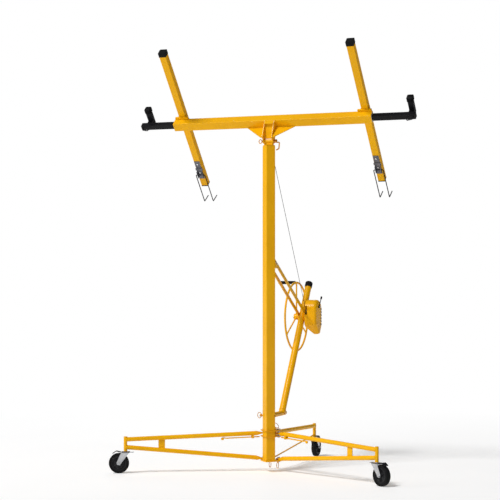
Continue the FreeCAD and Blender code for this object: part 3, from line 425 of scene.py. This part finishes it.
class Parts:
    """Vertices and faces of several closed solids that make one piece."""

    def __init__(self):
        self.verts, self.faces = [], []

    def add(self, verts, faces):
        """Add one closed solid."""
        start = len(self.verts)
        self.verts += verts
        self.faces += [tuple(start + i for i in face) for face in faces]

    def lathe(self, profile, centre, axis, steps=64, wave=None):
        """A closed outline of (along, radius) points turned about an axis."""
        turn = UP.rotation_difference(Vector(axis)).to_matrix()
        verts, faces, n = [], [], len(profile)
        for k in range(steps):
            a = 2 * math.pi * k / steps
            for i, (along, radius) in enumerate(profile):
                r = radius + (wave(k, i) if wave else 0)
                verts.append(centre + turn @ Vector((r * math.cos(a), r * math.sin(a), along)))
            for i in range(n):
                j, k1 = (i + 1) % n, (k + 1) % steps
                faces.append((k * n + i, k1 * n + i, k1 * n + j, k * n + j))
        self.add(verts, faces)

    def tube(self, points, radius, sides=8, closed=False):
        """A round tube along points; radius is a number or a function of the point's index."""
        verts, faces, count = [], [], len(points)
        side = None
        for k, point in enumerate(points):
            before = points[k - 1] if k or closed else point
            after = points[(k + 1) % count] if k < count - 1 or closed else point
            ahead = (after - before).normalized()
            if side is None:
                side = ahead.orthogonal().normalized()
            side = (side - ahead * side.dot(ahead)).normalized()
            other = ahead.cross(side)
            r = radius(k) if callable(radius) else radius
            for s in range(sides):
                a = 2 * math.pi * s / sides
                verts.append(point + (side * math.cos(a) + other * math.sin(a)) * r)
        for k in range(count if closed else count - 1):
            k1 = (k + 1) % count
            for s in range(sides):
                s1 = (s + 1) % sides
                faces.append((k * sides + s, k * sides + s1, k1 * sides + s1, k1 * sides + s))
        if not closed:
            faces.append(tuple(range(sides)))
            faces.append(tuple((count - 1) * sides + s for s in reversed(range(sides))))
        self.add(verts, faces)

    def ring(self, centre, axis, inner, outer, height, steps):
        """A washer or a plain barrel, with its foot at the centre."""
        self.lathe([(0, inner), (0, outer), (height, outer), (height, inner)], centre, axis, steps)

    def bead(self, points, radius=BEAD_R, closed=False):
        """A weld bead: a lumpy run along the seam between two parts."""
        path = []
        loop = points + points[:1] if closed else points
        for a, b in zip(loop, loop[1:]):
            steps = max(1, int((b - a).length / BEAD_STEP))
            path += [a.lerp(b, k / steps) for k in range(steps)]
        if not closed:
            path.append(points[-1])
        self.tube(path, lumpy(radius), BEAD_SIDES, closed)

    def ring_bead(self, centre, axis, radius, thickness=BEAD_R):
        """A weld bead right round a tube."""
        side = Vector(axis).orthogonal().normalized()
        other = Vector(axis).normalized().cross(side)
        steps = max(24, int(2 * math.pi * radius / RING_BEAD_STEP))
        points = []
        for k in range(steps):
            a = 2 * math.pi * k / steps
            points.append(centre + (side * math.cos(a) + other * math.sin(a)) * radius)
        self.tube(points, lumpy(thickness), BEAD_SIDES, True)

    def hex_nut(self, centre, axis, across, height):
        """A six-sided nut or bolt head with a chamfered top."""
        turn = UP.rotation_difference(Vector(axis)).to_matrix()
        r = across / 2 / math.cos(math.pi / 6)
        rows = [(0, r), (height * 0.82, r), (height, r * 0.84)]
        verts, faces = [], []
        for z, radius in rows:
            for k in range(6):
                a = math.pi / 3 * k
                verts.append(centre + turn @ Vector((radius * math.cos(a), radius * math.sin(a), z)))
        for level in (0, 6):
            for k in range(6):
                j = (k + 1) % 6
                faces.append((level + k, level + j, level + 6 + j, level + 6 + k))
        faces += [tuple(reversed(range(6))), tuple(range(12, 18))]
        self.add(verts, faces)

    def make(self, name, slot, body, replaced=(), sharp=35):
        """One visible piece of all the solids added so far."""
        return piece(name, self.verts, self.faces, slot, body, replaced, sharp)


# ---------------------------------------------------------------- casters

TYRE_R, HALF_TREAD = 62.5 * MM, 16 * MM
SPOKES, SPOKE_R, SPOKE_FROM, SPOKE_TO, SPOKE_FACE = 6, 2.6 * MM, 14 * MM, 38 * MM, 8.5 * MM
FORK_FACE, CROWN_Z = 23.4 * MM, 130 * MM
AXLE_WASHER, AXLE_NUT = (4 * MM, 10 * MM, 1.6 * MM), (13 * MM, 6.5 * MM)


def tyre_profile():
    """The tyre's section: a crowned tread with two thin grooves and rounded shoulders."""
    half = [(0.2, 1.0), (0.34, 0.999), (0.37, 0.978), (0.43, 0.978), (0.46, 0.996), (0.72, 0.985),
            (0.88, 0.962), (0.97, 0.925), (1.0, 0.88), (0.99, 0.82), (0.955, 0.80), (0.955, 0.775),
            (0.985, 0.76), (0.97, 0.737)]
    right = [(HALF_TREAD * x, TYRE_R * y) for x, y in half]
    left = [(-HALF_TREAD * x, TYRE_R * y) for x, y in reversed(half)]
    return left + right


def wheel_profile():
    """The wheel's section: bearing barrel, dished web and a lipped rim."""
    half = [(19, 4.1), (19, 11), (17, 13), (9, 14.5), (6.5, 18), (6, 34), (8.5, 37.5), (13.5, 39),
            (14.2, 41), (14.0, 45.9)]
    return in_metres(half) + in_metres([(-x, y) for x, y in reversed(half)])


def wheel_axle(side):
    """The middle of a caster's wheel and the direction of its axle."""
    roll = JOINTS[side + "_wheel_roll"]
    return Vector(roll["pos_m"]), Vector(roll["axis"])


def fork_crown(side):
    """The middle of the fork's top, on the swivel's axis."""
    stem = joint_at(side + "_caster_swivel")
    return Vector((stem.x, stem.y, CROWN_Z))


def caster_tyre(side):
    """The rubber tyre with its grooved tread."""
    centre, axis = wheel_axle(side)
    tyre = Parts()
    tyre.lathe(tyre_profile(), centre, axis, steps=96)
    tyre.make(side + "_tyre_tread", "black_tyre", side + "_wheel", [side + "_caster_tyre"])


def caster_hub(side):
    """The dished wheel with ribs on both faces of its web."""
    centre, axis = wheel_axle(side)
    wheel = Parts()
    wheel.lathe(wheel_profile(), centre, axis, steps=72)
    for face in (1, -1):
        lift = axis * face * SPOKE_FACE
        for k in range(SPOKES):
            out = Matrix.Rotation(2 * math.pi / SPOKES * k, 3, axis) @ UP
            wheel.tube([centre + out * reach + lift for reach in (SPOKE_FROM, SPOKE_TO)], SPOKE_R, 8)
    wheel.make(side + "_wheel_hub", "wheel_plastic", side + "_wheel", [side + "_caster_wheel"])


def fork_fittings(side):
    """Washers and nuts on the axle bolt, and the pressed race round the stem."""
    centre, axis = wheel_axle(side)
    fittings = Parts()
    for out in (axis, -axis):
        base = centre + out * FORK_FACE
        fittings.ring(base, out, *AXLE_WASHER, steps=32)
        fittings.hex_nut(base + out * AXLE_WASHER[2], out, *AXLE_NUT)
    race = in_metres([(0, 20.5), (0, 24), (2.2, 24.5), (4.4, 22), (4.6, 20.5)])
    fittings.lathe(race, fork_crown(side), UP, steps=48)
    fittings.make(side + "_fork_fittings", "zinc_plate", side + "_swivel")


def fork_top_plate(side):
    """The fork's top plate: flat, with cut corners, in line with the trailing wheel."""
    crown = fork_crown(side)
    centre, _ = wheel_axle(side)
    trail = Vector((centre.x - crown.x, centre.y - crown.y, 0)).normalized()
    across = trail.cross(UP)
    under, top = -0.4, 3.2
    corners = [(-27, 18), (-20, 25), (20, 25), (24, 21), (24, -21), (20, -25), (-20, -25), (-27, -18)]
    verts = [crown + (trail * x + across * y + UP * z) * MM for z in (under, top) for x, y in corners]
    n = len(corners)
    faces = [tuple(range(n)), tuple(reversed(range(n, 2 * n)))]
    faces += [(k, (k + 1) % n, n + (k + 1) % n, n + k) for k in range(n)]
    plate = Parts()
    plate.add(verts, faces)
    plate.make(side + "_fork_top_plate", "black_paint", side + "_swivel")


# ---------------------------------------------------------------- winch and rope

ROPE_R, STRANDS, LAY = 1.6 * MM, 6, 19 * MM
STRAND_R, CORE_R, CORE_EVERY = ROPE_R * 0.36, ROPE_R * 0.45, 6
ROUTE_STEPS, ROUTE_GAP = 900, 2.2 * MM

# the cable's route as (y, z) from the pulley's axis, and its last point: in from the winding's side, and
# (y, z) from the drum's axis
CABLE_OVER_PULLEY = [(-21, -46), (-21, -9.9), (-21, 9.9), (-5.7, 22.5), (13.8, 18.7), (23.2, 1.2)]
LANDING_IN, LANDING_Y, LANDING_Z = 8, -33.1, -17.8

WOUND_LAYERS, WOUND_TURNS, STEPS_PER_TURN = (34.3 * MM, 31.4 * MM), 8, 60


def rope_strands(parts, route):
    """Six strands laid round a core along a route of points."""
    length, lengths = 0.0, [0.0]
    for a, b in zip(route, route[1:]):
        length += (b - a).length
        lengths.append(length)
    frames, side = [], None
    for k, point in enumerate(route):
        ahead = (route[min(k + 1, len(route) - 1)] - route[max(k - 1, 0)]).normalized()
        side = ahead.orthogonal().normalized() if side is None else side
        side = (side - ahead * side.dot(ahead)).normalized()
        frames.append((point, side, ahead.cross(side)))
    for strand in range(STRANDS):
        turn = 2 * math.pi * strand / STRANDS
        path = []
        for (point, u, w), along in zip(frames, lengths):
            a = turn + 2 * math.pi * along / LAY
            path.append(point + (u * math.cos(a) + w * math.sin(a)) * (ROPE_R - STRAND_R))
        parts.tube(path, STRAND_R, sides=5)
    parts.tube(route[::CORE_EVERY] + route[-1:], CORE_R, sides=6)


def smooth_route(points):
    """Points read from the NURBS curve whose control points are given, a small gap apart."""
    data = bpy.data.curves.new("route", "CURVE")
    data.dimensions = "3D"
    spline = data.splines.new("NURBS")
    spline.points.add(len(points) - 1)
    for point, place in zip(spline.points, points):
        point.co = (*place, 1)
    spline.order_u, spline.use_endpoint_u, spline.resolution_u = 3, True, ROUTE_STEPS
    carrier = bpy.data.objects.new("route", data)
    mesh = bpy.data.meshes.new_from_object(carrier)
    route = []
    for vertex in mesh.vertices:
        if not route or (vertex.co - route[-1]).length > ROUTE_GAP:
            route.append(vertex.co.copy())
    bpy.data.objects.remove(carrier)
    bpy.data.curves.remove(data)
    bpy.data.meshes.remove(mesh)
    return route


def lift_cable():
    """Taut wire rope: up inside the mast slot, over the top pulley and down to the drum."""
    pulley, drum = joint_at("top_pulley_turn"), joint_at("winch_turn")
    winding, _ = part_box("cable_winding")
    over = [pulley + Vector((0, y, z)) * MM for y, z in CABLE_OVER_PULLEY]
    landing = drum + Vector((0, LANDING_Y, LANDING_Z)) * MM
    landing.x = winding.x + LANDING_IN * MM - ROPE_R
    rope = Parts()
    rope_strands(rope, smooth_route(over + [landing]))
    rope.make("wire_rope", "wire_rope", "root", ["lift_cable"], ROPE_SHARP)


def drum_winding():
    """Two layers of turns side by side on the drum."""
    drum = joint_at("winch_turn")
    low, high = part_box("cable_winding")
    width = high.x - low.x - 2 * ROPE_R
    steps = WOUND_TURNS * STEPS_PER_TURN
    wound = Parts()
    for radius in WOUND_LAYERS:
        points = []
        for k in range(steps + 1):
            a = 2 * math.pi * k / STEPS_PER_TURN
            x = low.x + ROPE_R + width * k / steps
            points.append(Vector((x, drum.y + radius * math.cos(a), drum.z + radius * math.sin(a))))
        wound.tube(points, ROPE_R, sides=7)
    wound.make("wound_rope", "wire_rope", "winch_wheel", ["cable_winding"], ROPE_SHARP)


def wheel_grip():
    """Moulded grip: ribbed barrel, rounded ends and a flange at the wheel."""
    low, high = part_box("wheel_grip")
    foot = Vector((high.x, (low.y + high.y) / 2, (low.z + high.z) / 2))
    length, r = high.x - low.x, (high.z - low.z) / 2
    bore, flange, plain_ends, ribs = 5.2 * MM, 10 * MM, 22 * MM, 16
    step = (length - plain_ends) / ribs
    profile = [(0, bore), (0, r * 0.86), (1.2 * MM, r * 0.98), (4 * MM, r), (7 * MM, r * 0.97)]
    for k in range(ribs):
        start = flange + step * k
        profile += [(start, r * 0.90), (start + step * 0.25, r * 0.96), (start + step * 0.7, r * 0.96)]
    profile += [(length - 10 * MM, r * 0.92), (length - 5 * MM, r * 0.95), (length - 1.5 * MM, r * 0.80),
                (length, r * 0.60), (length, bore)]
    grip = Parts()
    grip.lathe(profile, foot, Vector((-1, 0, 0)), steps=48)
    grip.make("ribbed_grip", "black_rubber", "grip", ["wheel_grip"])


def cover_fittings():
    """A row of hex screws with washers on the winch cover, and the brake lever's stud and nut."""
    _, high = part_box("winch_cover")
    drum, pivot = joint_at("winch_turn"), joint_at("brake_release")
    out = Vector((1, 0, 0))
    screws, behind_drum, lowest, pitch, washer = 6, 40, -50, 20, 1
    fittings = Parts()
    for k in range(screws):
        place = Vector((high.x, drum.y + behind_drum * MM, drum.z + (lowest + pitch * k) * MM))
        fittings.ring(place, out, inner=2 * MM, outer=7 * MM, height=washer * MM, steps=28)
        fittings.hex_nut(place + out * washer * MM, out, across=9.5 * MM, height=4 * MM)
    stud = Vector((high.x, pivot.y, pivot.z))
    fittings.ring(stud, out, inner=0.4 * MM, outer=3.7 * MM, height=9.4 * MM, steps=24)
    fittings.hex_nut(stud + out * 9 * MM, out, across=11 * MM, height=4 * MM)
    fittings.make("cover_fittings", "zinc_plate", "root", ["cover_screws"])


# ---------------------------------------------------------------- welds

# a side leg's two tubes: axis height at the hub, climb to the caster post, and height of the seam there
LEG_TOP_Z, LEG_TOP_CLIMB, POST_TOP_Z = 238.0, -30.0, 208.4
LEG_LOW_Z, LEG_LOW_CLIMB, POST_LOW_Z = 79.5, 81.5, 161.4
LEG_REACH, POST_SEAM, LEG_TUBE_R, LEG_SEAM_R = 886.0, 10.5, 13.4, 12.6 * MM
GUSSET_FROM_POST, GUSSET_FACE = (243, 204), 2.6

# the outer mast tube, with its corners to the front, back and sides, and the plates welded round it
MAST_CORNER = 30.6 * math.sqrt(2)
MAST_FOOT_SEAM, HUB_PLATES, HUB_PLATE_FACE = 74.6, (220.0, 256.0), 3.4
REAR_SLEEVE_SEAMS, REAR_SLEEVE_R = ((150.4, 234.9), (65.6, 238.0)), 14.6 * MM
HUB_TONGUE_X, HUB_TONGUE_Y, HUB_TONGUE_Z = 9.6, (47, 73), 73.6
HANDLE_SEAM, HANDLE_SEAM_R = 24.0 * MM, 21.4 * MM

# the strut and pulley plates on the mast's rear faces: the distances of their sides from the middle, the
# heights of a seam's ends, how far it stands out, and its bead
REAR_PLATES = [((22, 27), (1292, 1336), 0.3, THIN_BEAD), ((5.2, 8.8), (1912, 1978), 0.2, FINE_BEAD)]

RING_FROM_HUB, RING_SEAM, HUB_SEAM, SPOKE_SEAM_R = -50, 219, 20.5, 5.6 * MM


def side_leg_welds(side):
    """Seams where a side leg's tubes meet its caster post, and along its gusset plate."""
    hinge, post = joint_at(side + "_leg_fold"), joint_at(side + "_caster_swivel")
    hinge.z = post.z = 0
    reach = (post - hinge).length / MM
    ahead = (post - hinge).normalized()
    across = Vector((ahead.y, -ahead.x, 0))

    def spot(x, y, z):
        return hinge + (across * x + ahead * y) * MM + Vector((0, 0, z * MM))

    def under_top_tube(y):
        return LEG_TOP_Z + LEG_TOP_CLIMB * y / reach - LEG_TUBE_R

    def over_low_tube(y):
        return LEG_LOW_Z + LEG_LOW_CLIMB * y / reach + LEG_TUBE_R

    welds = Parts()
    for z in (POST_TOP_Z, POST_LOW_Z):
        welds.ring_bead(spot(0, reach - POST_SEAM, z), ahead, LEG_SEAM_R)
    for x in (-GUSSET_FACE, GUSSET_FACE):
        for height in (under_top_tube, over_low_tube):
            welds.bead([spot(x, reach - short, height(reach - short)) for short in GUSSET_FROM_POST])
    welds.make(side + "_leg_welds", "yellow_paint", side + "_leg", sharp=WELD_SHARP)


def mast_ring(z):
    """The outer mast tube's four corners at a height."""
    quarters = [k * math.pi / 2 for k in range(4)]
    return [at_mast(MAST_CORNER * math.cos(a), MAST_CORNER * math.sin(a), z) for a in quarters]


def root_welds():
    """Seams of the hub, the rear leg, the handle's foot, and the plates on the mast's rear faces."""
    welds = Parts()
    welds.bead(mast_ring(MAST_FOOT_SEAM), WIDE_BEAD, closed=True)
    for plate in HUB_PLATES:
        for face in (-HUB_PLATE_FACE, HUB_PLATE_FACE):
            welds.bead(mast_ring(plate + face), THIN_BEAD, closed=True)
    back = Vector((0, 1, 0))
    welds.ring_bead(at_mast(0, LEG_REACH - POST_SEAM, POST_TOP_Z), back, LEG_SEAM_R)
    for y, z in REAR_SLEEVE_SEAMS:
        welds.ring_bead(at_mast(0, y, z), back, REAR_SLEEVE_R)
    welds.ring_bead(at_mast(*HANDLE_FOOT) + HANDLE_SLOPE * HANDLE_SEAM, HANDLE_SLOPE, HANDLE_SEAM_R)
    for side in (1, -1):
        for faces, heights, proud, bead_r in REAR_PLATES:
            for x in faces:
                welds.bead([at_mast(side * x, MAST_CORNER - x + proud, z) for z in heights], bead_r)
    for x in (-HUB_TONGUE_X, HUB_TONGUE_X):
        welds.bead([at_mast(x, y, HUB_TONGUE_Z) for y in HUB_TONGUE_Y], FINE_BEAD)
    welds.make("frame_welds", "yellow_paint", "root", sharp=WELD_SHARP)


def wheel_welds():
    """Seams at both ends of the hand wheel's three spokes."""
    ring = joint_at("winch_turn") + Vector((RING_FROM_HUB * MM, 0, 0))
    welds = Parts()
    for degrees in (90, 210, 330):
        a = math.radians(degrees)
        out = Vector((0, math.cos(a), math.sin(a)))
        for reach in (RING_SEAM, HUB_SEAM):
            welds.ring_bead(ring + out * reach * MM, out, SPOKE_SEAM_R, THIN_BEAD)
    welds.make("hand_wheel_welds", "yellow_paint", "winch_wheel", sharp=WELD_SHARP)


def cradle_welds():
    """Seams under and behind the beam at the yoke, and round the arm saddles."""
    front, back = BEAM_Y - BEAM_HALF, BEAM_Y + BEAM_HALF
    ear_faces, ear_back, wing_reach = (27.4, 33.6), (88, -8), (34, 154)
    saddle_ear, ear_z, saddle_half, saddle_z = 24.7, 152.4, 43, 148.4
    welds = Parts()
    for side in (1, -1):
        for x in ear_faces:
            welds.bead([in_cradle(side * x, y, BEAM_LOW_Z) for y in (front + 2, back - 1)])
        welds.bead([in_cradle(side * x, back - 5.8, BEAM_LOW_Z) for x in wing_reach])
        welds.bead([in_cradle(side * 33.8, back - 5.6, z) for z in ear_back])
        for x in (ARM_X - saddle_ear, ARM_X + saddle_ear):
            welds.bead([in_cradle(side * x, y, ear_z) for y in (front, back + 3)], FINE_BEAD)
        for x in (ARM_X - saddle_half, ARM_X + saddle_half):
            welds.bead([in_cradle(side * x, y, saddle_z) for y in (back + 1, front + 3)], LEAST_BEAD)
    welds.bead([in_cradle(x, front + 4.4, BEAM_LOW_Z) for x in (-20, 20)])
    welds.make("cradle_welds", "yellow_paint", "cradle", sharp=WELD_SHARP)


# ---------------------------------------------------------------- cradle fittings and caps

OUTRIGGER_POST = {"left": -834, "right": 895}
PAD_HALF_X, PAD_HALF_Z, PAD_Z, PAD_CORNER, CORNER_STEPS = 20.5, 21.0, 173.0, 7.0, 4
PAD_RIBS, RIB_PITCH = 4, 5
HOOK_SCREWS, HOOK_SCREW_Z = (273, 341), 149
SADDLE_FACE, BOLT_WASHER = 26.2, 1.4
KNOB_STEPS, KNOB_RIB_DEPTH = 144, 0.8 * MM


def pad_outline(y, scale):
    """The pad's rounded outline at one depth along its post."""
    outline = []
    for cx, cz, start in ((1, 1, 0), (-1, 1, 90), (-1, -1, 180), (1, -1, 270)):
        for step in range(CORNER_STEPS + 1):
            a = math.radians(start + 90 / CORNER_STEPS * step)
            x = cx * (PAD_HALF_X - PAD_CORNER) + PAD_CORNER * math.cos(a)
            z = cz * (PAD_HALF_Z - PAD_CORNER) + PAD_CORNER * math.sin(a)
            outline.append((x * scale, BEAM_Y + y, PAD_Z + z * scale))
    return outline


def rubber_pad(side):
    """The outrigger's end pad: a ribbed rubber block with rounded corners."""
    depths = [(-104, 0.80), (-102.5, 0.94), (-99, 1.0)]
    for k in range(PAD_RIBS):
        rib = -96 + RIB_PITCH * k
        depths += [(rib, 1.0), (rib + 1, 0.93), (rib + 3, 0.93), (rib + 4, 1.0)]
    depths += [(-75.5, 1.0), (-74.0, 0.95)]
    rings = [pad_outline(y, scale) for y, scale in depths]
    n = len(rings[0])
    verts = [in_cradle(OUTRIGGER_POST[side] + x, y, z) for ring in rings for x, y, z in ring]
    faces = [tuple(range(n)), tuple(reversed(range((len(rings) - 1) * n, len(rings) * n)))]
    for r in range(len(rings) - 1):
        for k in range(n):
            j = (k + 1) % n
            faces.append((r * n + k, r * n + j, (r + 1) * n + j, (r + 1) * n + k))
    pad = Parts()
    pad.add(verts, faces)
    pad.make(side + "_pad_rubber", "black_rubber", side + "_outrigger_bar", [side + "_outrigger_pad"])


def cradle_fittings():
    """Washers and hex heads on the arm bolts, and the hook brackets' screws."""
    down = CRADLE_TURN @ Vector((0, 0, -1))
    fittings = Parts()
    for arm_x in (-ARM_X, ARM_X):
        for out in (-1, 1):
            axis = Vector((out, 0, 0))
            face = in_cradle(arm_x + out * SADDLE_FACE, BEAM_Y, ARM_BOLT_Z)
            fittings.ring(face, axis, inner=5 * MM, outer=11.5 * MM, height=BOLT_WASHER * MM, steps=32)
            fittings.hex_nut(face + axis * BOLT_WASHER * MM, axis, across=16 * MM, height=5.4 * MM)
        for y in HOOK_SCREWS:
            fittings.hex_nut(in_cradle(arm_x, y, HOOK_SCREW_Z), down, across=11 * MM, height=5 * MM)
    fittings.make("cradle_bolt_heads", "zinc_plate", "cradle", ["cradle_bolts"])


def end_knob(parts, low_end, axis, length, inner, outer, ribs):
    """A moulded cap over a tube's end: ribbed skirt, rounded crown. Measures are in millimetres."""
    def wave(k, i):
        on_skirt = 3 <= i <= 5
        return KNOB_RIB_DEPTH * math.cos(2 * math.pi * k * ribs / KNOB_STEPS) if on_skirt else 0

    profile = [(0, 0.4), (0, inner - 0.3), (0, inner), (1.5, outer - 1.2), (length * 0.5, outer - 0.9),
               (length - 7, outer - 0.9), (length - 3, outer - 2.4), (length, outer - 7), (length, 0.4)]
    parts.lathe(in_metres(profile), low_end, axis, KNOB_STEPS, wave)


def tube_caps():
    """The ribbed cap on the sloping tube and the domed plug in the stub."""
    cap_foot = at_mast(*HANDLE_TOP) - HANDLE_SLOPE * 37 * MM
    stub_end = at_mast(0, 285.1, 346)
    caps = Parts()
    end_knob(caps, cap_foot, HANDLE_SLOPE, length=42, inner=21.3, outer=24.7, ribs=18)
    end_knob(caps, stub_end, Vector((0, 1, 0)), length=10.8, inner=14, outer=16, ribs=12)
    caps.make("moulded_tube_caps", "black_rubber", "root", ["tube_end_caps"])


bpy.context.scene.view_settings.view_transform = "Standard"
make_camera()
paint_frame()
make_floor()
make_world()
make_lights()

for side_name in ("left", "right", "rear"):
    caster_tyre(side_name)
    caster_hub(side_name)
    fork_fittings(side_name)
    fork_top_plate(side_name)
for side_name in ("left", "right"):
    side_leg_welds(side_name)
    rubber_pad(side_name)
lift_cable()
drum_winding()
wheel_grip()
cover_fittings()
root_welds()
wheel_welds()
cradle_welds()
cradle_fittings()
tube_caps()
